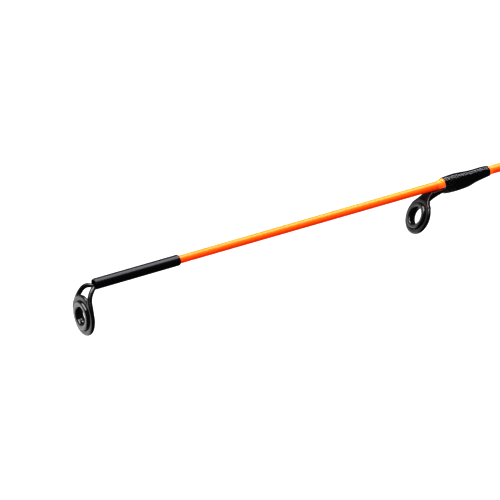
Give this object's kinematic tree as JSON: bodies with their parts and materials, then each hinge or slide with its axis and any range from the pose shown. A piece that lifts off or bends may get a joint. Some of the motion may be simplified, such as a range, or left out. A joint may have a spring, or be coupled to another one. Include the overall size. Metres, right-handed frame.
{
  "type": "ice fishing rod",
  "caption": "Short ice fishing rod with a bright solid blank, ringed line guides, foam grips and a threaded reel seat with a sliding hood.",
  "frame": {"origin": "on the axis of the blank, above the middle of the reel foot, where the hand holds the rod", "axes": "+X along the blank towards the butt, -X towards the tip, -Z the side of the guides and the reel, +Y to the left when seen from the butt with the reel below"},
  "size_m": [0.6105, 0.0228, 0.0279],
  "materials": {
    "blank": "fluorescent orange solid glass fibre under a clear gloss coat",
    "gunmetal": "gunmetal plated stamped steel, satin gloss",
    "black_metal": "gloss black plated tube",
    "ring": "polished black ceramic",
    "thread": "black winding thread",
    "clear_coat": "clear epoxy wrap finish",
    "foam": "closed-cell black foam, fine matte grain",
    "seat_plastic": "fibre-filled black plastic, fine satin texture",
    "rubber": "matte black rubber",
    "trim": "orange anodised, satin",
    "arbor": "plain cork composite"
  },
  "bodies": {
    "rod": {"rod_blank": "blank", "tip_top_tube": "black_metal", "tip_top_frame": "gunmetal", "tip_top_ring": "ring", "guide_1_frame": "gunmetal", "guide_1_ring": "ring", "guide_1_thread": "thread", "guide_1_coat": "clear_coat", "guide_2_frame": "gunmetal", "guide_2_ring": "ring", "guide_2_thread": "thread", "guide_2_coat": "clear_coat", "guide_3_frame": "gunmetal", "guide_3_ring": "ring", "guide_3_thread": "thread", "guide_3_coat": "clear_coat", "guide_4_frame": "gunmetal", "guide_4_ring": "ring", "guide_4_rear_thread": "thread", "guide_4_rear_coat": "clear_coat", "guide_4_front_thread": "thread", "guide_4_front_coat": "clear_coat", "hook_keeper": "gunmetal", "hook_keeper_thread": "thread", "hook_keeper_coat": "clear_coat", "winding_check": "rubber", "foregrip": "foam", "foregrip_trim_ring": "trim", "reel_seat_barrel": "seat_plastic", "front_arbor": "arbor", "rear_arbor": "arbor", "fixed_hood": "seat_plastic", "rear_trim_ring": "trim", "rear_grip": "foam", "butt_cap": "rubber"},
    "sliding_hood": {"sliding_hood": "seat_plastic"},
    "lock_nut": {"lock_nut": "seat_plastic"}
  },
  "joints": [
    {"name": "hood_slide", "type": "slide", "parent": "rod", "child": "sliding_hood", "axis": [1, 0, 0], "range_m": [0, 0.012]},
    {"name": "nut_turn", "type": "hinge", "parent": "sliding_hood", "child": "lock_nut", "pos_m": [-0.053, 0, 0], "axis": [1, 0, 0], "range_deg": [0, 1440.5]}
  ],
  "couplings": [
    {"joint": "nut_turn", "follows": "hood_slide", "rad_per_m": 2094.4}
  ]
}
